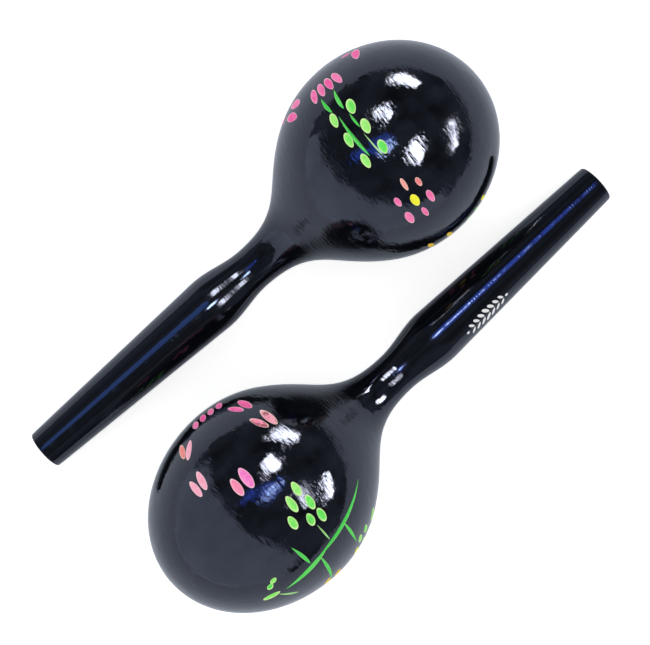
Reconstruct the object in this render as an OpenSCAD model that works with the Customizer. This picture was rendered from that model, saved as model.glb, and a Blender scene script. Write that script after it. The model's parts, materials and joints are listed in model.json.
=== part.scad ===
// A pair of lacquered wooden maracas, lying on a table head to tail.
// Each head is two turned shells glued at the widest ring, with loose pellets inside,
// and a turned handle whose tenon is glued into the neck. Millimetres, +Z up, and the
// origin is on the table, midway between the two instruments. +X runs along them.

/* [Head] */
// Greatest outside radius of a head
head_r = 47.5; // [42:0.5:52]
// Height of the widest ring above the handle's end face
head_z = 210; // [200:1:225]
// Length of the crown above the widest ring, for the first and the second maraca
crown_len = [52.5, 57.5]; // [46:0.5:62]
// Length of the shoulder below the widest ring, if it closed like the crown
shoulder_len = 53; // [50:0.5:58]
// Angle through which the round shoulder runs before it flares into the neck
shoulder_turn = 36; // [30:1:42]
// Wall thickness of the turned shells
wall = 4.5; // [3.5:0.5:6]

/* [Neck and handle] */
// Radius at the waist, where the neck shell meets the handle
neck_r = 10; // [9:0.1:11]
// Height of the waist above the handle's end face
neck_z = 128; // [124:1:134]
// Reach of the flare's curve out of the waist
flare_at_neck = 29; // [24:1:32]
// Reach of the flare's curve into the shoulder
flare_at_head = 27; // [22:1:30]
// Radius of the handle's swell
swell_r = 13.1; // [12:0.1:14]
// Height of the swell above the handle's end face
swell_z = 103; // [98:1:110]
// Radius of the handle's end
end_r = 9.4; // [8.5:0.1:10]
// Eased edge round the handle's end face
end_ease = 0.7; // [0.4:0.1:1.2]

/* [Glued joints] */
// Radius of the tenon on top of the handle
tenon_r = 6; // [5:0.5:6.5]
// Length of the tenon
tenon_len = 33; // [24:1:33]
// Chamfer on the tenon's tip
tenon_chamfer = 0.8; // [0.5:0.1:1.5]
// Height of the lip where the crown shell fits over the neck shell
lip_len = 5; // [4:0.5:7]
// Radial gap that the glue fills
glue = 0.05; // [0.03:0.01:0.1]

/* [Pellets] */
// Diameter of one pellet
pellet_d = 5; // [4:0.5:5.2]
// Distance between neighbouring rings of pellets along the head
ring_pitch = 6; // [6:0.1:6.4]
// Free space between neighbouring pellets in one ring
pellet_gap = 0.6; // [0.4:0.1:1]
// Clearance between a pellet and the inside wall
pellet_clear = 0.15; // [0.1:0.05:0.3]
// Pellets in each of the three middle rings
middle_count = 7; // [3:1:7]
// Pellets in each of the outer rings
side_count = 6; // [3:1:6]

/* [Lying on the table] */
// Distance of each handle's end from the middle of the pair, along the instruments
end_x = 133.7; // [130:0.1:150]
// Distance of the middle of each head from the middle of the pair, across the instruments
head_y = 39.2; // [37:0.1:60]
// Turn of each maraca away from parallel
splay = -1.15; // [-2:0.05:0]

/* [Hidden] */
round_fn = 96;
curve_steps = 18;
lacquer = "black";
pellet_colour = "tan";

// The resting line touches the handle's end edge and the shoulder's ellipse.
reach = head_z - end_ease;
spare = reach * reach - shoulder_len * shoulder_len;
rise = (sqrt(reach * reach * end_r * end_r + spare * (head_r * head_r - end_r * end_r))
    - reach * end_r) / spare;
tilt = atan(rise);
end_lift = (end_r - rise * end_ease) * cos(tilt);

// Inside of the hollow head.
hollow_r = head_r - wall;
hollow_len = shoulder_len - wall;
lip_r = head_r - wall / 2;

// Lowest point of the hollow when the maraca lies on the table, where the pellets gather.
pool_z = head_z - hollow_len * hollow_len * rise
    / sqrt(hollow_len * hollow_len * rise * rise + hollow_r * hollow_r);
neck_side_rings = [-3, -2];
middle_rings = [-1, 0, 1];
crown_side_rings = [2, 3];

// Points [radius, height] on an ellipse round the middle of the head, by angle above the widest ring.
function oval(radius, length, from, to) = [
    for (i = [0:curve_steps])
        let (angle = from + (to - from) * i / curve_steps)
            [radius * cos(angle), head_z + length * sin(angle)]
];

// A cubic curve from a to d, pulled towards b and c on the way.
function cubic(a, b, c, d) = [
    for (i = [0:curve_steps])
        let (t = i / curve_steps, u = 1 - t)
            u * u * u * a + 3 * u * u * t * b + 3 * u * t * t * c + t * t * t * d
];

function unit(v) = v / norm(v);

// Outside of the neck shell, from the widest ring down to the waist.
function shoulder_outline() =
    let (
        round_part = oval(head_r, shoulder_len, 0, -shoulder_turn),
        start = round_part[curve_steps],
        heading = unit([-head_r * sin(shoulder_turn), -shoulder_len * cos(shoulder_turn)]),
        flare = cubic(start, start + flare_at_head * heading,
            [neck_r, neck_z + flare_at_neck], [neck_r, neck_z])
    )
    concat(round_part, [for (i = [1:curve_steps]) flare[i]]);

// Outside of the handle between the swell and the waist: half a cosine wave.
function waist_outline() = [
    for (i = [0:curve_steps])
        let (share = i / curve_steps)
            [swell_r - (swell_r - neck_r) * (1 - cos(180 * share)) / 2,
             swell_z + (neck_z - swell_z) * share]
];

// Radius of the hollow at a height on its neck half or its crown half.
function hollow_at(z, length) = hollow_r * sqrt(1 - pow((z - head_z) / length, 2));

// Distance of a pellet's centre from the maraca's axis when it lies against the wall at height z.
function pellet_track(z, length) =
    let (
        radius = hollow_at(z, length),
        slope = hollow_r * hollow_r * (z - head_z) / (length * length * radius)
    )
    radius - (pellet_d / 2 + pellet_clear) * sqrt(1 + slope * slope);

// Stands a maraca's own frame, whose +Z runs from handle end to crown and whose +X
// is the underside, on the table as maraca 1 or 2.
module place(which) {
    side = which == 1 ? 1 : -1;
    drift = head_z * cos(tilt) * sin(splay);
    translate([-side * end_x, side * head_y - drift, end_lift])
        rotate([0, 0, side * splay + (which == 1 ? 0 : 180)])
            rotate([0, 90 - tilt, 0])
                children();
}

module turned(outline) {
    rotate_extrude($fn = round_fn)
        polygon(outline);
}

module crown_shell(which) {
    length = crown_len[which - 1];
    inner_start = asin(lip_len / (length - wall));
    color(lacquer)
        place(which)
            turned(concat(
                [[lip_r, head_z]],
                oval(head_r, length, 0, 90),
                oval(hollow_r, length - wall, 90, inner_start),
                [[lip_r, head_z + lip_len]]
            ));
}

module neck_shell(which) {
    bore_r = tenon_r + glue;
    bore_angle = acos(bore_r / hollow_r);
    lip_top = head_z + lip_len - glue;
    lip_inner = hollow_at(lip_top, crown_len[which - 1] - wall);
    color(lacquer)
        place(which)
            turned(concat(
                shoulder_outline(),
                [[bore_r, neck_z]],
                oval(hollow_r, hollow_len, -bore_angle, 0),
                [[lip_inner, lip_top], [lip_r - glue, lip_top], [lip_r - glue, head_z]]
            ));
}

module handle(which) {
    tip = neck_z + tenon_len;
    color(lacquer)
        place(which)
            turned(concat(
                [[0, 0], [end_r - end_ease, 0], [end_r, end_ease]],
                waist_outline(),
                [[tenon_r, neck_z], [tenon_r, tip - tenon_chamfer],
                 [tenon_r - tenon_chamfer, tip], [0, tip]]
            ));
}

// Loose pellets in rings round the lowest part of the hollow. Odd rings are half a step round.
module pellets(which, rings, count) {
    color(pellet_colour)
        place(which)
            for (ring = rings) {
                z = pool_z + ring * ring_pitch;
                track = pellet_track(z, z < head_z ? hollow_len : crown_len[which - 1] - wall);
                step = 2 * asin((pellet_d + pellet_gap) / 2 / track);
                shift = ring % 2 == 0 ? -step / 4 : step / 4;
                for (i = [0:count - 1])
                    rotate([0, 0, shift + (i - (count - 1) / 2) * step])
                        translate([track, 0, z])
                            sphere(d = pellet_d, $fn = 32);
            }
}

crown_shell(1);  // crown_shell_1
neck_shell(1);  // neck_shell_1
handle(1);  // handle_1
pellets(1, crown_side_rings, side_count);  // pellets_crown_side_1
pellets(1, middle_rings, middle_count);  // pellets_middle_1
pellets(1, neck_side_rings, side_count);  // pellets_neck_side_1
crown_shell(2);  // crown_shell_2
neck_shell(2);  // neck_shell_2
handle(2);  // handle_2
pellets(2, crown_side_rings, side_count);  // pellets_crown_side_2
pellets(2, middle_rings, middle_count);  // pellets_middle_2
pellets(2, neck_side_rings, side_count);  // pellets_neck_side_2
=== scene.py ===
import json
import math
import random
from functools import partial

import bmesh
import bpy
import numpy as np
from mathutils import Euler, Matrix, Vector
from mathutils.geometry import delaunay_2d_cdt


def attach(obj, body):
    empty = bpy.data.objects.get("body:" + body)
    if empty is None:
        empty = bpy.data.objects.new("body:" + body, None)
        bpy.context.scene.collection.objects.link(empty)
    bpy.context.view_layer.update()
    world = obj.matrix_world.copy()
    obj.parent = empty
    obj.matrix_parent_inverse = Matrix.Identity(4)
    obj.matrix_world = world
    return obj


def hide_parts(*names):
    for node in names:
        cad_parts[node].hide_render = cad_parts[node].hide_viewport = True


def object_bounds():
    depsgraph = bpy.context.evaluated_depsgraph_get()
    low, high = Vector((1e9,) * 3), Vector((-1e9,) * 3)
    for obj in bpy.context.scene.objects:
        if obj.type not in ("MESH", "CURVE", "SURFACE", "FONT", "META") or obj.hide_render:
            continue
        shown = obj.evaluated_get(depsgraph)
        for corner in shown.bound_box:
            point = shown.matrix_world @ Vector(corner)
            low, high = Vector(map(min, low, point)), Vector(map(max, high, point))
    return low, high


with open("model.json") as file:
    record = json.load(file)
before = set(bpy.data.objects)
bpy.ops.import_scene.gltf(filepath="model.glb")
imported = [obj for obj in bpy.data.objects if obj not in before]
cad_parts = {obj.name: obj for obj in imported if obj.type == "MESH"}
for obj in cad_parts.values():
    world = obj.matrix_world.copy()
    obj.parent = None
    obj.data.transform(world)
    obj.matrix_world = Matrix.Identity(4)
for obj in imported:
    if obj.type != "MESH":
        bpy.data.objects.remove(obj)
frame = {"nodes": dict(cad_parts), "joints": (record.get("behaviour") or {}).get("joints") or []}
cad_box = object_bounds()

# A pair of black lacquered wooden maracas with painted gouge cuts. Each is built in its own
# frame, in millimetres: the origin is the middle of the head's widest ring, +Z runs to the
# crown, +X is the underside, and +Y is the left side, seen from above with the crown ahead.
MM = 0.001

# Outlines
SAME = 0.02  # mm between two corners that count as one
STRAIGHT = math.radians(0.2)  # turn at a corner that counts as straight on
LONGEST_STEP = 6.0  # mm between the corners of a straight stretch
EASE_STEPS = 6  # steps round the handle end's eased edge
OUTLINE_SAMPLES = 2000  # places where an outline's height is looked up

# Gouge cuts
PETAL_POINTS = 28  # points round a petal's outline
PETAL_RINGS = (0.9, 0.7, 0.4)  # inner rings of a petal, as shares of its outline
STROKE_STEPS = 12  # steps along a stroke
STROKE_SIDES = (-0.6, 0.0, 0.6)  # inner lines of a stroke, as shares of its half width
CUT_DEPTH = 0.28  # depth of a cut, as a share of its half width
CLEAR_OF_CUTS = 0.9  # mm round a cut that the plain mesh leaves free
STROKE_DEPTH = 1.6  # times that a stroke is deeper than a petal of its width
THINNEST = 0.02  # mm, half width of a stroke at its ends
POINTED = 0.10  # how much a petal narrows towards both its ends
EGG = 0.08  # how much wider a petal is at its far end
LEAST_FULLNESS = 0.4  # least share of a petal's width that is left, far out from its middle
CUT_EDGE = 0.985  # share within which a triangle's middle lies in a cut
GARLAND_AT = (47, -130)  # degrees round the second handle, and mm above the widest ring
GARLAND_LENGTH = 25  # mm

# Mesh spacing
SKIN_STEP = 2.3  # mm between neighbouring points of the outer skin
MOST_COLUMNS = 128  # points in a ring of the outer skin, at most
FEWEST_COLUMNS = 48  # and at least
FEWEST_NEAR_POLE = 16  # and at least near the crown's tip
NEAR_POLE = 6  # mm from the axis that counts as near the crown's tip
POLE_GAP = 1.5  # mm from the crown's tip to the first ring of points
INSIDE_COLUMNS = 64  # columns of the surfaces that are out of sight
SEED_DIVISIONS = 4  # how finely a seed's surface is divided
SEED_FLATNESS = (0.93, 0.99)  # least and greatest thickness of a seed for its width

# Faces and points
SKIN_SLOT = 0  # material slot of the lacquer
INSIDE_SLOT = 1  # material slot of the bare wood
OFF_CUTS = 2.0  # share of a point that lies in no cut
MIDDLE_TINT = 0.5  # tint of a face that lies in no cut
TINT_SEED = 7  # start of the random tints
SHAPE_SEED = 11  # start of the seeds' random shapes

# Studio
CAMERA_TURN = -42.2  # degrees about the vertical
CAMERA_HEIGHT = 3.0  # m above the table
CAMERA_OFF = (-0.0003, 0.0008)  # m from the middle of the pair to below the camera
FIELD_WIDTH = 0.2969  # m of table across the picture
SENSOR = 36.0  # mm
TABLE_HALF = 4.0  # m, half the table's width
LAMP_FAR = 2.0  # m from a head to its lamps
LAMP_IN_FRONT = 1.96  # m from a head to a lamp in front of another
WHITE = (1.0, 1.0, 1.0)
CARD_WHITE = (0.8, 0.87, 1.0)
SKY = (0.06, 0.17, 1.0)
DULL_SKY = (0.14, 0.34, 1.0)
PALE_SKY = (0.62, 0.78, 1.0)


# ---- outlines from the frame

def placement(which):
    """The matrix that puts a maraca's own frame in the row frame."""
    swirl = next(j for j in frame["joints"] if j["name"] == f"swirl_crown_side_{which}")
    along = Vector(swirl["axis"]).normalized()
    down = Vector((0, 0, -1))
    under = (down - along * down.dot(along)).normalized()
    left = along.cross(under)
    turn = Matrix((under, left, along)).transposed().to_4x4()
    return Matrix.Translation(swirl["pos_m"]) @ turn


def outline_of(kind, which):
    """Corners (radius, height) in order along the outline of a maraca's turned CAD node."""
    mesh = frame["nodes"][f"{kind}_{which}"].data
    own = placement(which).inverted()
    corners = []
    corner_of = []
    for vertex in mesh.vertices:
        p = own @ vertex.co / MM
        here = (math.hypot(p.x, p.y), p.z)
        known = [i for i, corner in enumerate(corners) if math.dist(corner, here) < SAME]
        corner_of.append(known[0] if known else len(corners))
        if not known:
            corners.append(here)
    links = {i: set() for i in range(len(corners))}
    for edge in mesh.edges:
        a, b = (corner_of[v] for v in edge.vertices)
        if a != b:
            links[a].add(b)
            links[b].add(a)
    ends = sorted(i for i in links if len(links[i]) == 1)
    walk = [ends[0] if ends else 0]
    while True:
        onward = sorted(i for i in links[walk[-1]] if i not in walk)
        if not onward:
            return [corners[i] for i in walk]
        walk.append(onward[0])


def without_straight_points(corners):
    """Leaves out the points that lie on a straight stretch between their neighbours."""
    kept = [corners[0]]
    for here, after in zip(corners[1:], corners[2:]):
        before = kept[-1]
        first = math.atan2(here[1] - before[1], here[0] - before[0])
        second = math.atan2(after[1] - here[1], after[0] - here[0])
        turn = (second - first + math.pi) % math.tau - math.pi
        if abs(turn) > STRAIGHT:
            kept.append(here)
    return kept + [corners[-1]]


def from_the_top(corners):
    if corners[0][1] < corners[-1][1]:
        corners.reverse()
    return without_straight_points(corners)


def crown_outlines(which):
    """The crown's outline outside, from its tip to the widest ring, and inside, to the axis."""
    corners = from_the_top(outline_of("crown_shell", which))
    widest = max(range(len(corners)), key=lambda i: corners[i][0])
    return corners[:widest + 1], corners[widest + 1:]


def neck_outlines(which):
    """The neck's outline outside, from the widest ring to the waist, and inside, to the rim."""
    corners = outline_of("neck_shell", which)
    widest = max(range(len(corners)), key=lambda i: corners[i][0])
    corners = corners[widest:] + corners[:widest]
    steps_in_at_once = corners[0][0] - corners[1][0] > 1
    if steps_in_at_once:
        corners = corners[:1] + corners[:0:-1]
    corners = without_straight_points(corners)
    lowest = min(c[1] for c in corners)
    waist = next(i for i, c in enumerate(corners) if c[1] - lowest < SAME)
    return corners[:waist + 1], corners[waist + 1:]


def handle_outlines(which, waist):
    """The tenon's outline, from its tip, and the handle's, from the waist to its end face."""
    corners = from_the_top(outline_of("handle", which))
    top = next(i for i, c in enumerate(corners) if math.dist(c, waist) < SAME)
    return corners[:top], corners[top:]


def eased(edge, face):
    """A quarter round from the handle's side to its end face, inside the corner between the two."""
    centre = (face[0], edge[1])
    reach = (edge[0] - centre[0], face[1] - centre[1])
    turns = [math.pi / 2 * i / EASE_STEPS for i in range(1, EASE_STEPS + 1)]
    return [(centre[0] + reach[0] * math.cos(t), centre[1] + reach[1] * math.sin(t)) for t in turns]


def with_long_steps_split(corners):
    """Adds points along the long straight stretches, so that a smooth curve stays on them."""
    out = [corners[0]]
    for a, b in zip(corners, corners[1:]):
        parts = math.ceil(math.dist(a, b) / LONGEST_STEP)
        out += [tuple(np.add(a, np.subtract(b, a) * i / parts)) for i in range(1, parts + 1)]
    return out


# ---- turned surfaces

def curve_bends(knots, values, first_slope, last_slope):
    """Second derivatives of the smooth cubic curve through values at knots."""
    n = len(knots)
    gaps = np.diff(knots)
    rises = np.diff(values, axis=0) / gaps[:, None]
    system = np.zeros((n, n))
    wanted = np.zeros((n, 2))
    system[0, :2] = 2 * gaps[0], gaps[0]
    wanted[0] = 6 * (rises[0] - first_slope)
    system[-1, -2:] = gaps[-1], 2 * gaps[-1]
    wanted[-1] = 6 * (last_slope - rises[-1])
    for i in range(1, n - 1):
        system[i, i - 1:i + 2] = gaps[i - 1], 2 * (gaps[i - 1] + gaps[i]), gaps[i]
        wanted[i] = 6 * (rises[i] - rises[i - 1])
    return np.linalg.solve(system, wanted)


class Turned:
    """A smooth turned surface through an outline's corners. A point has an angle round the axis,
    from the top line to the left, and a distance along the outline."""

    def __init__(self, corners, first_slope, last_slope):
        self.corners = np.array(corners)
        steps = np.linalg.norm(np.diff(self.corners, axis=0), axis=1)
        self.knots = np.concatenate(([0.0], np.cumsum(steps)))
        self.bends = curve_bends(self.knots, self.corners, first_slope, last_slope)
        self.length = float(self.knots[-1])
        self.widest = float(self.corners[:, 0].max())
        self.fine = np.linspace(0, self.length, OUTLINE_SAMPLES)
        self.fine_heights = self.at(self.fine)[0][:, 1]

    def at(self, along):
        """The outline's (radius, height) and its direction at each distance along it."""
        along = np.atleast_1d(np.asarray(along, float))
        i = np.clip(np.searchsorted(self.knots, along, side="right") - 1, 0, len(self.knots) - 2)
        gap = (self.knots[i + 1] - self.knots[i])[:, None]
        b = (along - self.knots[i])[:, None] / gap
        a = 1 - b
        low, high = self.corners[i], self.corners[i + 1]
        low_bend, high_bend = self.bends[i] * gap ** 2 / 6, self.bends[i + 1] * gap ** 2 / 6
        place = a * low + b * high + (a ** 3 - a) * low_bend + (b ** 3 - b) * high_bend
        way = (high - low - (3 * a ** 2 - 1) * low_bend + (3 * b ** 2 - 1) * high_bend) / gap
        return place, way / np.linalg.norm(way, axis=1)[:, None]

    def radius(self, along):
        return np.maximum(self.at(along)[0][:, 0], 1e-6)

    def along_at(self, height):
        """Distance along the outline at a height above the widest ring."""
        return float(np.interp(-height, -self.fine_heights, self.fine))

    def normals(self, angle, along):
        way = self.at(along)[1]
        out, up = -way[:, 1], way[:, 0]
        return np.stack((-np.cos(angle) * out, np.sin(angle) * out, up), axis=1)

    def points(self, angle, along, depth):
        place = self.at(along)[0]
        radius = place[:, 0]
        flat = np.stack((-np.cos(angle) * radius, np.sin(angle) * radius, place[:, 1]), axis=1)
        return flat - self.normals(angle, along) * np.reshape(depth, (-1, 1))


# ---- cuts

class Spot:
    """A place on a turned surface, with its own mm: x to the left and y to the crown, then turned."""

    def __init__(self, surface, around, up, turn=0.0):
        self.surface = surface
        self.angle = math.radians(around)
        self.along = surface.along_at(up)
        self.sin, self.cos = math.sin(math.radians(turn)), math.cos(math.radians(turn))

    def to_surface(self, x, y):
        left = self.cos * x - self.sin * y
        along = self.along - self.sin * x - self.cos * y
        return np.stack((self.angle + left / self.surface.radius(along), along), axis=1)

    def from_surface(self, angle, along):
        left = (angle - self.angle) * self.surface.radius(along)
        crown = self.along - along
        return self.cos * left + self.sin * crown, self.cos * crown - self.sin * left


class Petal:
    """An oval gouge cut at (x, y) of a spot. Its long side is turned from the crown to the left."""

    def __init__(self, spot, paint, x, y, length, width, turn, flush=False):
        self.spot = spot
        self.paint = paint
        self.middle = (x, y)
        self.half = (length / 2, width / 2)
        self.sin, self.cos = math.sin(math.radians(turn)), math.cos(math.radians(turn))
        self.deepest = 0.0 if flush else CUT_DEPTH * width / 2

    def fullness(self, p):
        return (1 + EGG * p) * np.clip(1 - POINTED * p * p, LEAST_FULLNESS, 1)

    def share(self, angle, along, grow=0.0):
        """How far each point is from the petal's middle, as a share of the way to its outline."""
        x, y = self.spot.from_surface(angle, along)
        dx, dy = x - self.middle[0], y - self.middle[1]
        p = (dx * self.sin + dy * self.cos) / (self.half[0] + grow)
        q = (dx * self.cos - dy * self.sin) / (self.half[1] + grow)
        return np.hypot(p, q / self.fullness(p))

    def depth(self, angle, along):
        share = self.share(angle, along)
        return self.deepest * np.clip(1 - share ** 2, 0, None)

    def ring(self, share):
        t = np.arange(PETAL_POINTS) * math.tau / PETAL_POINTS
        p = share * np.cos(t)
        q = share * np.sin(t) * self.fullness(p) * self.half[1]
        p = p * self.half[0]
        x = self.middle[0] + p * self.sin + q * self.cos
        y = self.middle[1] + p * self.cos - q * self.sin
        return self.spot.to_surface(x, y)

    def outline(self):
        return self.ring(1.0)

    def inner_points(self):
        middle = self.spot.to_surface(*[np.array([c]) for c in self.middle])
        return np.concatenate([self.ring(s) for s in PETAL_RINGS] + [middle])


class Stroke:
    """A tapered cut from one point of a spot to another. It bows to its left by `bow` mm."""

    def __init__(self, spot, paint, start, end, width, bow=0.0):
        self.spot = spot
        self.paint = paint
        t = np.linspace(0, 1, STROKE_STEPS + 1)
        start, end = np.array(start, float), np.array(end, float)
        way = end - start
        side = np.array((-way[1], way[0])) / np.linalg.norm(way)
        self.line = start + t[:, None] * way + (4 * bow * t * (1 - t))[:, None] * side
        self.half = np.clip(width / 2 * np.sin(math.pi * t ** 1.3) ** 0.7, THINNEST, None)

    def gap_and_half(self, angle, along):
        """Each point's distance from the stroke's middle line, and the half width there."""
        x, y = self.spot.from_surface(angle, along)
        best = np.full(len(x), np.inf)
        half = np.ones(len(x))
        for i in range(STROKE_STEPS):
            a, b = self.line[i], self.line[i + 1]
            way = b - a
            t = np.clip(((x - a[0]) * way[0] + (y - a[1]) * way[1]) / (way @ way), 0, 1)
            gap = np.hypot(x - a[0] - t * way[0], y - a[1] - t * way[1])
            nearer = gap < best
            best = np.where(nearer, gap, best)
            half = np.where(nearer, self.half[i] + t * (self.half[i + 1] - self.half[i]), half)
        return best, half

    def share(self, angle, along, grow=0.0):
        gap, half = self.gap_and_half(angle, along)
        return gap / (half + grow)

    def depth(self, angle, along):
        gap, half = self.gap_and_half(angle, along)
        return STROKE_DEPTH * CUT_DEPTH * half * np.clip(1 - (gap / half) ** 1.5, 0, None)

    def side_line(self, share):
        way = np.gradient(self.line, axis=0)
        side = np.stack((-way[:, 1], way[:, 0]), axis=1) / np.linalg.norm(way, axis=1)[:, None]
        return (self.line + side * (self.half * share)[:, None])[1:-1]

    def outline(self):
        left, right = self.side_line(1), self.side_line(-1)
        corners = np.concatenate((self.line[:1], left, self.line[-1:], right[::-1]))
        return self.spot.to_surface(corners[:, 0], corners[:, 1])

    def inner_points(self):
        corners = np.concatenate([self.side_line(s) for s in STROKE_SIDES])
        return self.spot.to_surface(corners[:, 0], corners[:, 1])


# ---- motifs
# Each motif is cut by hand on the real thing, so its petals stand a little unevenly.

def one_petal(spot, paint, length, width, turn):
    return petal_row(spot, paint, 1, 0, length, width, turn)


def petal_row(spot, paint, count, pitch, length, width, turn, lean=0.0):
    """Petals side by side, from the spot towards the crown. Each leans more than the last."""
    return [Petal(spot, paint, 0, i * pitch, length, width, turn + lean * i) for i in range(count)]


def petal_pair(spot, paints, apart, length, width, turn, spread, second=0.85):
    """Two petals side by side that spread like a V. The second one is towards the crown."""
    first = Petal(spot, paints[0], 0, -apart / 2, length, width, turn - spread / 2)
    other = Petal(spot, paints[1], 0, apart / 2, length * second, width * second, turn + spread / 2)
    return [first, other]


def flower(spot):
    """A yellow heart in a ring of six petals that all slant the same way."""
    slant = 79
    places = ((9.3, 1.6), (5.5, 7.0), (-4.0, 6.1), (-8.5, -0.8), (-5.5, -7.6), (4.8, -6.1))
    sizes = ((6.7, 2.1), (4.8, 2.4), (7.2, 3.0), (6.1, 2.4), (7.5, 3.5), (5.2, 2.7))
    paints = ("salmon", "salmon", "pink", "pink", "pink", "pink")
    cuts = [Petal(spot, "yellow", 0, 0, 6.8, 3.7, slant)]
    for i, ((x, y), (length, width), paint) in enumerate(zip(places, sizes, paints)):
        cuts.append(Petal(spot, paint, x, y, length, width, slant + 3 * (i % 2)))
    return cuts


def sprig(spot, leaf_count=3):
    """Two rows of slanted leaves round the head, with stems along them."""
    pitch = 12.1
    cuts = []
    for i in range(leaf_count):
        cuts.append(Petal(spot, "leaf", -pitch * i, 6.9, 8.0 - 0.5 * i, 4.3 - 0.2 * i, 78))
        cuts.append(Petal(spot, "leaf", -pitch * i, -3.0, 7.8 - 0.3 * i, 3.6, 82))
    stem = partial(Stroke, spot, "stem")
    return cuts + [
        stem((14.0, 4.6), (1.2, 3.7), 1.8, 0.5),
        stem((15.0, -2.6), (3.6, -1.6), 1.7, 0.5),
        stem((-2.2, 4.5), (-11.0, 4.7), 1.1, 0.2),
        stem((0.3, -0.2), (-24.0, -0.1), 1.6, 0.4),
        Stroke(spot, "pale_stem", (-14.0, 4.2), (-27.5, 4.4), 0.7),
    ]


def leaf_cluster(spot):
    """Six loose leaves that all slant the same way."""
    places = ((-8.6, -2.9), (-5.0, 3.2), (0.2, -3.7), (8.5, -4.1), (6.4, 1.2), (1.7, 8.3))
    lengths = (7.2, 8.8, 7.6, 7.6, 6.6, 7.2)
    return [Petal(spot, "leaf", x, y, length, 3.7, 82 + 4 * (i % 2))
            for i, ((x, y), length) in enumerate(zip(places, lengths))]


def branch(spot):
    """A long stem in two strokes that runs to the crown, with twigs on both sides."""
    stem = partial(Stroke, spot, "stem")
    return [
        stem((-6.6, -33), (2.8, 6.5), 2.3, -0.6),
        stem((9.3, 26.5), (1.8, 1.0), 2.8, 0.5),
        Stroke(spot, "pale_stem", (-12.0, -1.5), (-0.4, -2.4), 0.8),
        stem((-11.3, 13.8), (2.9, 11.0), 1.7, -0.3),
        stem((17.8, -13.2), (-0.9, -12.3), 1.5, 0.2),
        stem((30.0, 5.0), (3.4, 5.6), 1.6, 0.4),
    ]


def crown_sprig(spot):
    """A leaf on a stalk, and two small leaves beside it."""
    return [
        Petal(spot, "leaf", -10.3, -4.3, 4.2, 2.4, 40),
        Petal(spot, "leaf", -7.2, -1.6, 4.4, 2.6, 50),
        Petal(spot, "leaf", 0, 0, 9.0, 3.2, 17),
        Stroke(spot, "pale_stem", (0.2, -3.0), (6.8, -11.8), 1.4, 0.3),
    ]


def berries(spot):
    """Small leaves in two rows, and a yellow one."""
    cuts = [Petal(spot, "yellow", 8.0, 9.2, 7.0, 3.0, 80)]
    for i in range(2):
        cuts.append(Petal(spot, "leaf", 0, 5.2 * i, 6.0, 3.0, 80))
        cuts.append(Petal(spot, "leaf", 7.6, -1.6 + 4.8 * i, 5.0, 2.2, 80))
    return cuts


def printed_garland(spot):
    """A printed mark: small leaves in pairs along a line, with a dot at each end."""
    def print_leaf(x, y, length, width, turn):
        return Petal(spot, "ink", x, y, length, width, turn, flush=True)

    pairs = 7
    pitch = GARLAND_LENGTH / (pairs + 1)
    leaves = []
    for i in range(pairs):
        from_middle = i - (pairs - 1) / 2
        size = 1.0 - 0.08 * abs(from_middle)
        for side in (-1, 1):
            leaves.append(print_leaf(side * 2.1 * size, from_middle * pitch,
                                     4.4 * size, 1.7 * size, side * 48))
    dots = [print_leaf(0, end * GARLAND_LENGTH / 2, 1.6, 1.4, 0) for end in (-1, 1)]
    return leaves + dots


def cuts_on_head_1(at):
    cuts = petal_row(at(56.3, -5), "pink", 4, 4.4, 10.5, 3.5, 84, 6)
    cuts += one_petal(at(72.2, 19.8), "pink", 13.0, 4.0, 89)
    cuts += one_petal(at(77, 15.6), "pink", 5.0, 2.6, 20)
    cuts += one_petal(at(69.4, -15.3), "pink", 10.0, 5.2, 117)
    cuts += one_petal(at(62.6, -19.8), "pink", 11.0, 4.7, 118)
    cuts += one_petal(at(80, -25.5), "pink", 9.0, 4.6, 90)
    cuts += sprig(at(32, 0))
    cuts += flower(at(-32, 1))
    cuts += one_petal(at(-76.5, -11.8), "orange", 9.0, 2.7, 85)
    cuts += one_petal(at(-80.5, -2.5), "orange", 10.0, 2.7, 85)
    # Out of sight of the camera, the same motifs go on round the head.
    cuts += petal_pair(at(104, 8), ("pink", "salmon"), 5.0, 11, 3.8, 80, 16)
    cuts += petal_pair(at(128, -14), ("pink", "pink"), 5.0, 11, 3.8, 95, 16)
    cuts += leaf_cluster(at(143, 9))
    cuts += berries(at(-96, 10))
    cuts += flower(at(-114, -12))
    cuts += sprig(at(-135, 16), 1)
    cuts += petal_pair(at(-150, -8), ("pink", "salmon"), 5.0, 10, 3.6, 85, 14)
    return cuts


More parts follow.
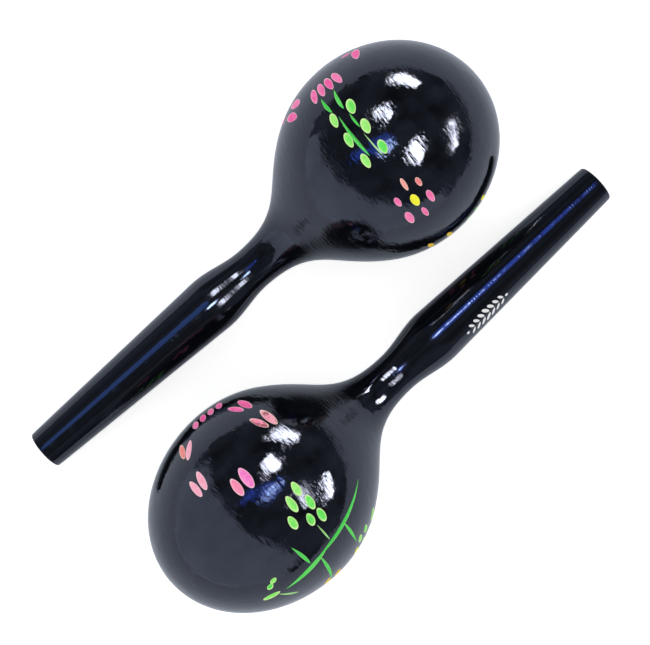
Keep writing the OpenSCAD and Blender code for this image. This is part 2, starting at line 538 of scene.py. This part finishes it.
def cuts_on_head_2(at):
    cuts = petal_row(at(-71.5, -10.5), "pink", 4, 4.6, 8.5, 3.3, 74)
    cuts += petal_pair(at(-55.3, -15.4), ("pink", "pink"), 4.9, 10.8, 4.0, 103, 18)
    cuts += petal_pair(at(-35.2, -17.3), ("stained", "stained"), 5.4, 11.8, 4.2, 99, 18)
    cuts += petal_pair(at(-60.4, 15.7, 60), ("rose", "salmon"), 4.4, 11.5, 3.4, 116, 21, 0.95)
    cuts += petal_pair(at(-35, 23.9), ("rose", "rose"), 4.6, 10.6, 3.5, 77, 10, 0.95)
    cuts += petal_pair(at(-15.5, 10.7), ("magenta", "rose"), 5.8, 11.2, 4.6, 82, 1)
    cuts += leaf_cluster(at(18, -2))
    cuts += branch(at(45, 0))
    cuts += crown_sprig(at(59, 32))
    cuts += berries(at(70, -20.7))
    cuts += one_petal(at(73, -28.0), "leaf", 7.5, 4.0, 60)
    cuts += one_petal(at(82, 0.9), "orange", 9.0, 3.4, 80)
    cuts += one_petal(at(82, 6.9), "orange", 9.0, 3.4, 80)
    # Out of sight of the camera, the same motifs go on round the head.
    cuts += flower(at(118, -14))
    cuts += petal_pair(at(112, 18), ("pink", "salmon"), 5.0, 10.5, 3.8, 85, 14)
    cuts += sprig(at(151, 10), 2)
    cuts += petal_pair(at(-98, -8), ("pink", "pink"), 5.0, 11, 3.8, 92, 16)
    cuts += petal_pair(at(-100, 18), ("pink", "salmon"), 5.0, 10, 3.6, 80, 12)
    cuts += leaf_cluster(at(-128, 6))
    cuts += petal_row(at(-152, -12), "yellow", 2, 8.0, 7.0, 3.6, 85)
    return cuts


# ---- meshes

def carved(surface, cuts, angle, along):
    """Depth of the cuts at each point, and how far it is from a cut's middle, as a share."""
    depth = np.zeros(len(angle))
    share = np.full(len(angle), OFF_CUTS)
    for cut in cuts:
        depth = np.maximum(depth, cut.depth(angle, along))
        share = np.minimum(share, cut.share(angle, along))
    return depth, share


class Sheet:
    """A turned surface with its cuts, as triangles. Rings of points run round it, and each cut
    has its own outline and inner points."""

    def __init__(self, surface, cuts, start=0.0, seam=None):
        self.surface = surface
        self.cuts = cuts
        self.start = start
        self.seam = seam
        self.triangulate()
        self.join_sides()
        depth, self.shares = carved(surface, cuts, self.angle, self.along)
        self.points = surface.points(self.angle, self.along, depth)
        self.find_cuts()

    def ring_distances(self):
        surface = self.surface
        stops = sorted(set(k for k in surface.knots if k > self.start) | {self.start})
        out = [stops[0]]
        for a, b in zip(stops, stops[1:]):
            parts = max(1, round((b - a) / SKIN_STEP))
            out += [a + (b - a) * i / parts for i in range(1, parts + 1)]
        return out

    def triangulate(self):
        surface = self.surface
        rows = []
        for along in self.ring_distances():
            radius = float(surface.radius(along)[0])
            fewest = FEWEST_COLUMNS if radius > NEAR_POLE else FEWEST_NEAR_POLE
            columns = int(np.clip(round(math.tau * radius / SKIN_STEP), fewest, MOST_COLUMNS))
            angle = np.linspace(-math.pi, math.pi, columns + 1)
            row = np.stack((angle, np.full(columns + 1, along)), axis=1)
            free = np.ones(columns + 1, bool)
            for cut in self.cuts:
                free &= cut.share(row[:, 0], row[:, 1], CLEAR_OF_CUTS) > 1
            rows.append(row[free])
        points = list(np.concatenate(rows))
        edges = []
        if self.seam is not None:
            edges.append((len(points), len(points) + 1))
            points += [np.array((-math.pi, self.seam)), np.array((math.pi, self.seam))]
        for cut in self.cuts:
            outline = cut.outline()
            first, count = len(points), len(outline)
            edges += [(first + i, first + (i + 1) % count) for i in range(count)]
            points += list(outline) + list(cut.inner_points())
        flat = [Vector((p[0] * surface.widest, p[1])) for p in points]
        placed, _, faces, _, _, _ = delaunay_2d_cdt(flat, edges, [], 0, 1e-5)
        self.angle = np.array([p.x for p in placed]) / surface.widest
        self.along = np.array([p.y for p in placed])
        self.faces = np.array([list(f) for f in faces])

    def join_sides(self):
        """The sheet's two straight sides are the same line on the turned surface."""
        left = {round(self.along[i], 3): i for i in np.flatnonzero(self.angle < -math.pi + 1e-5)}
        same = np.arange(len(self.angle))
        for i in np.flatnonzero(self.angle > math.pi - 1e-5):
            same[i] = left[round(self.along[i], 3)]
        self.faces = same[self.faces]

    def find_cuts(self):
        """Which cut each triangle lies in, or -1."""
        middle_angle = self.angle_of_corners().mean(axis=1)
        middle_along = self.along[self.faces].mean(axis=1)
        self.face_cut = np.full(len(self.faces), -1)
        nearest = np.full(len(self.faces), CUT_EDGE)
        for i, cut in enumerate(self.cuts):
            share = cut.share(middle_angle, middle_along)
            self.face_cut = np.where(share < nearest, i, self.face_cut)
            nearest = np.minimum(nearest, share)

    def angle_of_corners(self):
        """Each triangle's angles, all on one side of the line where the sheet's sides meet."""
        angle = self.angle[self.faces]
        over = (angle.max(axis=1) - angle.min(axis=1)) > math.pi
        return np.where(over[:, None] & (angle < 0), angle + math.tau, angle)

    def corner_normals(self):
        """The exact normal of the carved surface at each triangle's corners."""
        surface = self.surface
        angle = self.angle_of_corners()
        along = self.along[self.faces]
        normals = surface.normals(angle.ravel(), along.ravel()).reshape(-1, 3, 3)
        inside = self.face_cut >= 0
        towards_middle = 0.1
        a, s = ((c + (c.mean(axis=1)[:, None] - c) * towards_middle).ravel()
                for c in (angle[inside], along[inside]))
        small = 0.02
        turn = small / surface.radius(s)
        sides = []
        for da, ds in ((turn, 0), (-turn, 0), (0, small), (0, -small)):
            depth = carved(surface, self.cuts, a + da, s + ds)[0]
            sides.append(surface.points(a + da, s + ds, depth))
        found = np.cross(sides[0] - sides[1], sides[2] - sides[3])
        found /= np.linalg.norm(found, axis=1)[:, None]
        normals[inside] = found.reshape(-1, 3, 3)
        return normals

    def ring(self, along):
        """The points of a ring, in order round it."""
        on_ring = np.flatnonzero(np.abs(self.along - along) < 1e-4)
        used = set(self.faces.ravel())
        return sorted((i for i in on_ring if i in used), key=lambda i: self.angle[i])


def new_object(name, data):
    made = bpy.data.objects.new(name, data)
    bpy.context.scene.collection.objects.link(made)
    return made


class Piece:
    """A closed mesh in the making, in its maraca's own frame."""

    def __init__(self, kind, which, materials):
        self.name = f"{kind}_{which}"
        self.which = which
        self.materials = materials
        self.points, self.angles, self.shares = [], [], []
        self.faces, self.normals, self.slots, self.tints = [], [], [], []

    def add_point(self, point, angle, share=OFF_CUTS):
        self.points.append(tuple(point))
        self.angles.append(angle)
        self.shares.append(share)
        return len(self.points) - 1

    def add_face(self, corners, normals=None, slot=SKIN_SLOT, tint=MIDDLE_TINT):
        """Adds a face. It is flat if it has no normals of its own."""
        self.faces.append(tuple(corners))
        if normals is None:
            normals = [(0, 0, 0)] * len(corners)
        self.normals += [tuple(n) for n in normals]
        self.slots.append(slot)
        self.tints.append(tint)

    def add_sheet(self, sheet, wanted):
        """Adds a sheet's triangles. Returns the new number of each of its points."""
        number = {}
        slot_of = {paint: slot for slot, paint in enumerate(self.materials)}
        corner_normals = sheet.corner_normals()
        rng = random.Random(TINT_SEED)
        tints = [rng.random() for _ in sheet.cuts]
        for face, face_normals, cut in zip(sheet.faces[wanted], corner_normals[wanted],
                                           sheet.face_cut[wanted]):
            for i in face:
                if i not in number:
                    number[i] = self.add_point(sheet.points[i], sheet.angle[i], sheet.shares[i])
            paint = None if cut < 0 else sheet.cuts[cut].paint
            tint = MIDDLE_TINT if cut < 0 else tints[cut]
            self.add_face([number[i] for i in face], face_normals, slot_of[paint], tint)
        return number

    def add_ring(self, corner):
        radius, height = corner
        ring = []
        for i in range(INSIDE_COLUMNS):
            angle = -math.pi + math.tau * i / INSIDE_COLUMNS
            point = (-radius * math.cos(angle), radius * math.sin(angle), height)
            ring.append(self.add_point(point, angle))
        return ring

    def join(self, first, second):
        """Triangles of bare wood between two rings. The second is further along the outline."""
        a = [self.angles[i] for i in first] + [self.angles[first[0]] + math.tau]
        b = [self.angles[i] for i in second] + [self.angles[second[0]] + math.tau]
        i = j = 0
        while i < len(first) or j < len(second):
            here, there = first[i % len(first)], second[j % len(second)]
            if j == len(second) or (i < len(first) and a[i + 1] <= b[j + 1]):
                i += 1
                self.add_face((here, first[i % len(first)], there), slot=INSIDE_SLOT)
            else:
                j += 1
                self.add_face((here, second[j % len(second)], there), slot=INSIDE_SLOT)

    def join_all(self, rings):
        for first, second in zip(rings, rings[1:]):
            self.join(first, second)

    def cap(self, height, ring, ends, normal=None, slot=INSIDE_SLOT):
        """Closes the outline's start, or its end if ends. It is flat without a normal function."""
        tip = self.add_point((0, 0, height), 0)
        for here, after in zip(ring, ring[1:] + ring[:1]):
            corners = (here, after, tip) if ends else (tip, after, here)
            self.add_face(corners, normal(corners) if normal else None, slot)

    def finish(self, node):
        """Makes the Blender object, on its maraca's body, in place of its CAD node."""
        place = placement(self.which)
        mesh = bpy.data.meshes.new(self.name)
        mesh.from_pydata([place @ (Vector(p) * MM) for p in self.points], [], self.faces)
        own = mesh.attributes.new("own", "FLOAT_VECTOR", "POINT")
        own.data.foreach_set("vector", np.array(self.points, np.float32).ravel())
        for material in self.materials.values():
            mesh.materials.append(material)
        mesh.polygons.foreach_set("material_index", self.slots)
        share = mesh.attributes.new("share", "FLOAT", "POINT")
        share.data.foreach_set("value", np.array(self.shares, np.float32))
        tint = mesh.attributes.new("tint", "FLOAT", "FACE")
        tint.data.foreach_set("value", np.array(self.tints, np.float32))
        normals = np.array(self.normals)
        given = np.linalg.norm(normals, axis=1) > 0.5
        smooth = given.reshape(-1, 3).all(axis=1)
        mesh.polygons.foreach_set("use_smooth", smooth)
        turn = place.to_3x3()
        mesh.normals_split_custom_set([turn @ Vector(n) for n in normals])
        mesh.validate()
        body = new_object(self.name, mesh)
        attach(body, f"maraca_{self.which}")
        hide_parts(f"{node}_{self.which}")
        return body


# ---- materials

class Shader:
    """A node material or world in the making. Its patterns are in mm, in the maraca's own frame
    where the mesh has one, or else in the row frame."""

    def __init__(self, name, own_frame=True, kind="materials"):
        self.own_frame = own_frame
        self.made = getattr(bpy.data, kind).new(name)
        self.made.use_nodes = True
        self.tree = self.made.node_tree
        self.tree.nodes.clear()

    def add(self, kind, inputs=(), **settings):
        node = self.tree.nodes.new(kind)
        for key, value in settings.items():
            setattr(node, key, value)
        for key, value in dict(inputs).items():
            socket = node.inputs[key]
            if isinstance(value, bpy.types.NodeSocket):
                self.tree.links.new(value, socket)
            else:
                socket.default_value = (*value, 1) if socket.type == "RGBA" else value
        return node

    def places(self, per_mm):
        """Places on the surface, in steps of a pattern that has per_mm of them in a mm."""
        if self.own_frame:
            where = self.add("ShaderNodeAttribute", attribute_name="own").outputs["Vector"]
            scale = per_mm
        else:
            where = self.add("ShaderNodeTexCoord").outputs["Object"]
            scale = [p / MM for p in per_mm]
        return self.add("ShaderNodeVectorMath", {0: where, 1: scale}, operation="MULTIPLY").outputs[0]

    def noise(self, per_mm, detail, roughness=0.5):
        inputs = {"Vector": self.places(per_mm), "Scale": 1.0}
        inputs.update({"Detail": detail, "Roughness": roughness})
        return self.add("ShaderNodeTexNoise", inputs).outputs["Fac"]

    def attribute(self, name):
        return self.add("ShaderNodeAttribute", attribute_name=name).outputs["Fac"]

    def maths(self, operation, a, b):
        return self.add("ShaderNodeMath", {0: a, 1: b}, operation=operation).outputs[0]

    def spread(self, value, low, high, to_low=0.0, to_high=1.0, smooth=True):
        kind = "SMOOTHSTEP" if smooth else "LINEAR"
        ends = {"From Min": low, "From Max": high, "To Min": to_low, "To Max": to_high}
        node = self.add("ShaderNodeMapRange", {"Value": value, **ends}, interpolation_type=kind)
        return node.outputs[0]

    def mix(self, share, a, b):
        """Colour a where share is 0 and b where it is 1."""
        return self.add("ShaderNodeMix", {0: share, 6: a, 7: b}, data_type="RGBA").outputs[2]

    def bump(self, height, distance_mm, before=None):
        inputs = {"Height": height, "Distance": distance_mm * MM, "Strength": 1.0}
        if before is not None:
            inputs["Normal"] = before
        return self.add("ShaderNodeBump", inputs).outputs[0]

    def surface(self, colour, roughness, normal, **more):
        inputs = {"Base Color": colour, "Roughness": roughness, "Normal": normal}
        inputs.update({key.replace("_", " "): value for key, value in more.items()})
        shader = self.add("ShaderNodeBsdfPrincipled", inputs)
        self.add("ShaderNodeOutputMaterial", {"Surface": shader.outputs[0]})
        return self.made


def black_lacquer(name, glossiest, dullest, relief):
    """Thick gloss lacquer over turned wood. Fine turning marks run round the axis, which is Z."""
    s = Shader(name)
    fine_marks = s.noise((0.22, 0.22, 1.1), 2, 0.6)
    wide_marks = s.noise((0.05, 0.05, 0.5), 2)
    peel = s.noise((0.5, 0.5, 0.8), 3, 0.65)
    marked = s.spread(s.noise((0.06, 0.06, 0.10), 2), 0.38, 0.62, 0.25, 1.5)
    normal = s.bump(s.maths("MULTIPLY", fine_marks, marked), 0.07 * relief)
    normal = s.bump(wide_marks, 0.04 * relief, normal)
    normal = s.bump(s.maths("MULTIPLY", peel, marked), 0.055 * relief, normal)
    dull = s.noise((0.06, 0.06, 0.1), 3)
    rough = s.spread(dull, 0.4, 0.75, glossiest, dullest)
    colour = s.mix(s.noise((0.1, 0.1, 0.4), 3), (0.0010, 0.0012, 0.0018), (0.0028, 0.0032, 0.0044))
    # The pale blue specular tint is a painted blue cast of the studio light on every reflection in
    # the lacquer.
    return s.surface(colour, rough, normal, IOR=1.6, Specular_Tint=(0.77, 0.81, 1.0))


def bare_wood():
    """Pale close-grained wood, as it is inside the shells and on the tenon."""
    s = Shader("bare_wood")
    grain = s.noise((1.6, 1.6, 0.05), 4, 0.6)
    colour = s.mix(grain, (0.52, 0.37, 0.22), (0.72, 0.56, 0.37))
    return s.surface(colour, s.spread(grain, 0, 1, 0.55, 0.75), s.bump(grain, 0.05))


def cut_paint(name, full, pale, rim, rim_from, stain=0.0):
    """Paint in a gouge cut. It thins out to its rim, and the wood's grain shows through."""
    s = Shader(name)
    share = s.attribute("share")
    tint = s.attribute("tint")
    grain = s.noise((1.8, 1.8, 0.3), 3, 0.6)
    blotch = s.noise((0.5, 0.5, 0.5), 2)
    strength = s.maths("ADD", s.maths("MULTIPLY", blotch, 0.7), s.maths("MULTIPLY", tint, 0.5))
    paint = s.mix(s.spread(strength, 0.25, 0.75), pale, full)
    paint = s.mix(s.spread(grain, 0.55, 0.8, 0.0, 0.35), paint, rim)
    if stain:
        streak = s.noise((0.25, 0.25, 0.5), 2)
        share_of_stain = s.maths("MULTIPLY", s.spread(streak, 0.52, 0.62), stain)
        paint = s.mix(share_of_stain, paint, (0.22, 0.03, 0.03))
    edge = s.maths("ADD", share, s.maths("MULTIPLY", s.maths("SUBTRACT", blotch, 0.5), 0.3))
    colour = s.mix(s.spread(edge, rim_from, 1.0), paint, rim)
    return s.surface(colour, 0.55, s.bump(grain, 0.04), IOR=1.35)


# Each paint's full, pale and rim colours, the share where its rim starts, and its stain
PALE_PINK = (0.94, 0.62, 0.66)
LIME = (0.66, 0.92, 0.36)
PAINTS = {
    "pink": ((0.92, 0.09, 0.36), (0.95, 0.22, 0.47), PALE_PINK, 0.84),
    "rose": ((0.92, 0.24, 0.42), (0.95, 0.44, 0.56), PALE_PINK, 0.8),
    "salmon": ((0.86, 0.20, 0.21), (0.92, 0.38, 0.32), (0.94, 0.72, 0.58), 0.8),
    "magenta": ((0.90, 0.14, 0.56), (0.94, 0.30, 0.58), PALE_PINK, 0.84),
    "stained": ((0.92, 0.20, 0.38), (0.95, 0.40, 0.50), (0.94, 0.68, 0.58), 0.8, 0.75),
    "leaf": ((0.10, 0.78, 0.07), (0.38, 0.88, 0.18), LIME, 0.66),
    "stem": ((0.03, 0.62, 0.05), (0.10, 0.72, 0.10), (0.34, 0.80, 0.22), 0.85),
    "pale_stem": ((0.24, 0.66, 0.18), (0.52, 0.80, 0.38), LIME, 0.5),
    "yellow": ((0.94, 0.90, 0.01), (0.94, 0.90, 0.03), (0.94, 0.90, 0.30), 0.92),
    "orange": ((0.92, 0.58, 0.02), (0.92, 0.64, 0.05), (0.92, 0.76, 0.30), 0.9),
}


def white_ink():
    """Thin printed ink, a little worn."""
    s = Shader("white_ink")
    worn = s.spread(s.noise((1.2, 1.2, 1.2), 4, 0.7), 0.62, 0.75)
    colour = s.mix(worn, (0.80, 0.80, 0.80), (0.30, 0.30, 0.31))
    return s.surface(colour, 0.35, s.bump(worn, 0.01))


def dry_seed():
    """Dry round seeds, each with its own brown."""
    s = Shader("dry_seed", own_frame=False)
    broad = s.noise((0.25, 0.25, 0.25), 1)
    fine = s.noise((2.5, 2.5, 2.5), 3)
    colour = s.mix(broad, (0.34, 0.20, 0.09), (0.62, 0.44, 0.24))
    colour = s.mix(s.spread(fine, 0.55, 0.75), colour, (0.20, 0.11, 0.05))
    return s.surface(colour, s.spread(fine, 0, 1, 0.45, 0.7), s.bump(fine, 0.08))


def white_table():
    """A white table. To the camera it glows, so that its shadows stay faint."""
    s = Shader("white_table", own_frame=False)
    tone = s.noise((0.01, 0.01, 0.01), 2)
    to_camera = s.add("ShaderNodeLightPath").outputs["Is Camera Ray"]
    # To every ray but the camera's the table is pale blue, a painted blue cast of the studio light;
    # the camera sees it plain white.
    colour = s.mix(tone, (0.80, 0.87, 1.0), (0.78, 0.85, 0.98))
    colour = s.mix(to_camera, colour, (0.95, 0.95, 0.95))
    glow = s.maths("MULTIPLY", to_camera, 0.55)
    return s.surface(colour, 0.8, s.bump(s.noise((0.3, 0.3, 0.3), 2), 0.02),
                     Emission_Color=WHITE, Emission_Strength=glow)


# ---- the two maracas

def build_head(which, crown_outline, neck_outline, materials):
    """The crown piece and the neck piece of one head, cut from the same sheet."""
    crown_out, crown_in = crown_outline
    neck_out, neck_in = neck_outline
    head = Turned(crown_out + neck_out[1:], (1, 0), (0, -1))
    seam = float(head.knots[len(crown_out) - 1])
    cuts_on_head = cuts_on_head_1 if which == 1 else cuts_on_head_2
    sheet = Sheet(head, cuts_on_head(partial(Spot, head)), POLE_GAP, seam)
    on_crown = sheet.along[sheet.faces].mean(axis=1) < seam

    crown = Piece("crown", which, materials)
    number = crown.add_sheet(sheet, on_crown)
    tip_ring = [number[i] for i in sheet.ring(POLE_GAP)]
    angles = np.array([crown.angles[i] for i in tip_ring])
    ring_normals = dict(zip(tip_ring, head.normals(angles, np.full(len(angles), POLE_GAP))))
    crown.cap(crown_out[0][1], tip_ring, False,
              lambda corners: [ring_normals.get(i, (0, 0, 1)) for i in corners], SKIN_SLOT)
    rings = [[number[i] for i in sheet.ring(seam)]] + [crown.add_ring(c) for c in crown_in[:-1]]
    crown.join_all(rings)
    crown.cap(crown_in[-1][1], rings[-1], True)

    neck = Piece("neck", which, materials)
    number = neck.add_sheet(sheet, ~on_crown)
    waist_ring = [number[i] for i in sheet.ring(head.length)]
    seam_ring = [number[i] for i in sheet.ring(seam)]
    neck.join_all([waist_ring] + [neck.add_ring(c) for c in neck_in] + [seam_ring])
    return [crown.finish("crown_shell"), neck.finish("neck_shell")]


def build_handle(which, tenon, side, materials):
    """The handle with its eased flat end, its tenon, and the second one's printed mark."""
    edge, face = side[-2], side[-1]
    corners = with_long_steps_split(side[:-1]) + eased(edge, face)
    surface = Turned(corners, (0, -1), (-1, 0))
    sheet = Sheet(surface, printed_garland(Spot(surface, *GARLAND_AT)) if which == 2 else [])
    handle = Piece("turned_handle", which, materials)
    number = handle.add_sheet(sheet, np.ones(len(sheet.faces), bool))
    rings = [handle.add_ring(c) for c in tenon] + [[number[i] for i in sheet.ring(0)]]
    handle.cap(tenon[0][1], rings[0], False)
    handle.join_all(rings)
    handle.cap(face[1], [number[i] for i in sheet.ring(surface.length)], True,
               lambda corners: [(0, 0, -1)] * len(corners), SKIN_SLOT)
    return handle.finish("handle")


def build_maracas():
    """Builds both maracas. Returns each one's head pieces and handle pieces."""
    materials = {None: black_lacquer("black_lacquer", 0.045, 0.11, 1.0), "wood": bare_wood()}
    for name, looks in PAINTS.items():
        materials[name] = cut_paint(f"{name}_paint", *looks)
    materials["ink"] = white_ink()
    handle_materials = {**materials, None: black_lacquer("handle_lacquer", 0.07, 0.13, 0.35)}
    pieces = {}
    for which in (1, 2):
        neck_outline = neck_outlines(which)
        head = build_head(which, crown_outlines(which), neck_outline, materials)
        waist = neck_outline[0][-1]
        handle = build_handle(which, *handle_outlines(which, waist), handle_materials)
        pieces[which] = (head, [handle])
    return pieces


def pellet_places(node):
    """The middle and the radius of each pellet of a CAD node."""
    mesh = frame["nodes"][node].data
    joined = list(range(len(mesh.vertices)))

    def first_of(i):
        while joined[i] != i:
            joined[i] = joined[joined[i]]
            i = joined[i]
        return i

    first_there = {}
    for i, vertex in enumerate(mesh.vertices):
        there = tuple(round(c / MM, 2) for c in vertex.co)
        joined[i] = first_there.setdefault(there, i)
    for edge in mesh.edges:
        a, b = sorted(first_of(v) for v in edge.vertices)
        joined[b] = a
    groups = {}
    for i, vertex in enumerate(mesh.vertices):
        groups.setdefault(first_of(i), []).append(vertex.co)
    boxes = [(np.min(points, axis=0), np.max(points, axis=0)) for points in groups.values()]
    return [(Vector((low + high) / 2), float((high - low).max() / 2)) for low, high in boxes]


def build_seeds():
    """The loose pellets: round seeds that have dried a little flat, each its own way."""
    material = dry_seed()
    rng = random.Random(SHAPE_SEED)
    for node in sorted(n for n in frame["nodes"] if n.startswith("pellets")):
        shape = bmesh.new()
        for middle, radius in pellet_places(node):
            turn = Euler([rng.uniform(0, math.tau) for _ in range(3)]).to_matrix().to_4x4()
            flat = Matrix.Diagonal((1, 1, rng.uniform(*SEED_FLATNESS), 1))
            bmesh.ops.create_icosphere(shape, subdivisions=SEED_DIVISIONS, radius=radius,
                                       matrix=Matrix.Translation(middle) @ turn @ flat)
        mesh = bpy.data.meshes.new(node)
        shape.to_mesh(mesh)
        shape.free()
        mesh.polygons.foreach_set("use_smooth", [True] * len(mesh.polygons))
        mesh.materials.append(material)
        seeds = new_object(node.replace("pellets", "seeds"), mesh)
        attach(seeds, node)
        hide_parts(node)


# ---- studio

def image_way(right, up, out):
    """A direction in the row frame from its parts in the picture: right, up and out of it."""
    turn = math.radians(CAMERA_TURN)
    return Vector((
        right * math.cos(turn) - up * math.sin(turn),
        right * math.sin(turn) + up * math.cos(turn),
        out,
    )).normalized()


def make_camera(middle):
    data = bpy.data.cameras.new("camera")
    data.sensor_width = SENSOR
    data.lens = SENSOR * CAMERA_HEIGHT / FIELD_WIDTH
    camera = new_object("camera", data)
    camera.location = (middle[0] + CAMERA_OFF[0], middle[1] + CAMERA_OFF[1], CAMERA_HEIGHT)
    camera.rotation_euler = (0, 0, math.radians(CAMERA_TURN))
    bpy.context.scene.camera = camera


def make_lamp(which, middle, name, pieces, way, along, spread, radiance, colour=WHITE,
              shape="RECTANGLE", far=LAMP_FAR):
    """A lamp that only shows as a reflection in some pieces of a maraca. Its way from the head's
    middle and its first side are directions in the picture. Its spread is its size in radians."""
    name = f"{name}_{which}"
    data = bpy.data.lights.new(name, "AREA")
    data.shape = shape
    data.size, data.size_y = (far * s for s in spread)
    data.energy = radiance * math.pi * data.size * data.size_y
    data.color = colour
    out = image_way(*way)
    side = image_way(*along)
    side = (side - out * side.dot(out)).normalized()
    lamp = new_object(name, data)
    lamp.location = middle + out * far
    lamp.rotation_euler = Matrix((side, out.cross(side), out)).transposed().to_euler()
    lamp.visible_camera = False
    lamp.visible_diffuse = False
    lit = bpy.data.collections.new(f"{name}_lights")
    for piece in pieces:
        lit.objects.link(piece)
    lamp.light_linking.receiver_collection = lit


def make_floor():
    corners = [(x * TABLE_HALF, y * TABLE_HALF, 0) for x, y in ((-1, -1), (1, -1), (1, 1), (-1, 1))]
    mesh = bpy.data.meshes.new("table")
    mesh.from_pydata(corners, [], [(0, 1, 2, 3)])
    mesh.materials.append(white_table())
    new_object("table", mesh)


def make_world():
    """White all round for matt surfaces and the camera, and a dim blue room in the reflections."""
    s = Shader("studio", kind="worlds")
    shapes = s.add("ShaderNodeTexNoise", {"Scale": 2.6}).outputs["Fac"]
    tones = s.spread(shapes, 0.3, 0.7, 0.04, 0.34, smooth=False)
    room = s.add("ShaderNodeBackground", {"Color": (0.7, 0.8, 1.0), "Strength": tones}).outputs[0]
    pale = s.add("ShaderNodeBackground", {"Color": WHITE}).outputs[0]
    glossy = s.add("ShaderNodeLightPath").outputs["Is Glossy Ray"]
    mix = s.add("ShaderNodeMixShader", {0: glossy, 1: pale, 2: room})
    s.add("ShaderNodeOutputWorld", {"Surface": mix.outputs[0]})
    bpy.context.scene.world = s.made


def light_maraca_1(lamp, head, handle):
    """Softboxes and blue sky round the first maraca, and a white card low on the left."""
    lamp("top", head, (0.13, 0.94, 0.31), (-0.93, 0.22, -0.28), (0.42, 0.16), 34)
    lamp("upper", head, (-0.13, 0.57, 0.81), (-0.71, 0.51, -0.48), (0.30, 0.17), 34)
    lamp("right", head, (0.91, 0.12, 0.40), (0.23, -0.94, -0.24), (0.42, 0.09), 26)
    lamp("near", head, (0.44, -0.11, 0.89), (0.41, -0.86, -0.31), (0.42, 0.19), 34, WHITE, "ELLIPSE")
    lamp("sky", head, (-0.16, 0.04, 0.99), (0.98, -0.10, 0.17), (0.36, 0.28), 4, SKY, "ELLIPSE")
    lamp("glint", head, (-0.07, -0.01, 0.99), (0.5, -0.8, 0.1), (0.16, 0.09), 34, PALE_SKY, "ELLIPSE")
    lamp("low_sky", head, (-0.48, -0.05, 0.87), (0.85, -0.12, 0.51), (0.18, 0.16), 4, SKY, "ELLIPSE")
    lamp("line", handle, (-0.53, -0.11, 0.84), (0.85, -0.12, 0.51), (0.36, 0.34), 1.5, DULL_SKY,
         "ELLIPSE")
    lamp("waist_upper", handle, (-0.42, 0.29, 0.86), (0.74, 0.65, 0.18), (0.10, 0.34), 22)
    lamp("waist_near", handle, (0.14, -0.37, 0.92), (0.74, 0.65, 0.18), (0.10, 0.34), 22)
    lamp("swell_glint", handle, (-0.21, -0.25, 0.94), (0.66, -0.75, 0), (0.14, 0.24), 26, PALE_SKY,
         "ELLIPSE")
    lamp("card", head, (-0.46, -0.83, 0.26), (-0.88, 0.48, 0), (8.0, 0.80), 1.0, CARD_WHITE)


def light_maraca_2(lamp, head, handle):
    """The same lamps as the second maraca sees them."""
    lamp("top", head, (0.23, 0.90, 0.37), (-0.97, 0.23, 0.05), (0.42, 0.18), 34)
    lamp("upper", head, (0.08, 0.58, 0.81), (-0.73, 0.58, -0.35), (0.30, 0.17), 34)
    lamp("right", head, (0.92, 0.12, 0.37), (0.22, -0.94, -0.25), (0.40, 0.18), 30, WHITE, "ELLIPSE")
    lamp("near", head, (0.64, -0.02, 0.77), (0.50, -0.74, -0.44), (0.36, 0.13), 20)
    lamp("sky", head, (0.15, 0.18, 0.97), (0.98, -0.19, -0.11), (0.28, 0.28), 4, SKY, "ELLIPSE")
    lamp("glint", head, (0.17, 0.18, 0.97), (0.5, -0.8, 0.1), (0.11, 0.13), 26, PALE_SKY, "ELLIPSE")
    lamp("low_sky", head, (-0.17, 0.15, 0.97), (0.97, -0.17, 0.19), (0.17, 0.15), 4, SKY, "ELLIPSE")
    lamp("line", handle, (0.30, 0.29, 0.90), (0.7, -0.7, 0), (0.34, 0.30), 4, SKY)
    lamp("line_glint", handle, (0.28, 0.27, 0.91), (0.7, -0.7, 0), (0.09, 0.22), 26, PALE_SKY,
         far=LAMP_IN_FRONT)
    lamp("card", head, (-0.60, -0.58, 0.52), (-0.70, 0.71, 0), (8.0, 1.46), 1.0, CARD_WHITE)


def make_studio(pieces):
    low, high = cad_box
    make_camera((low + high) / 2)
    make_floor()
    make_world()
    for which, light_maraca in ((1, light_maraca_1), (2, light_maraca_2)):
        light_maraca(partial(make_lamp, which, placement(which).translation), *pieces[which])


maraca_pieces = build_maracas()
build_seeds()
make_studio(maraca_pieces)
scene = bpy.context.scene
scene.view_settings.view_transform = "Standard"
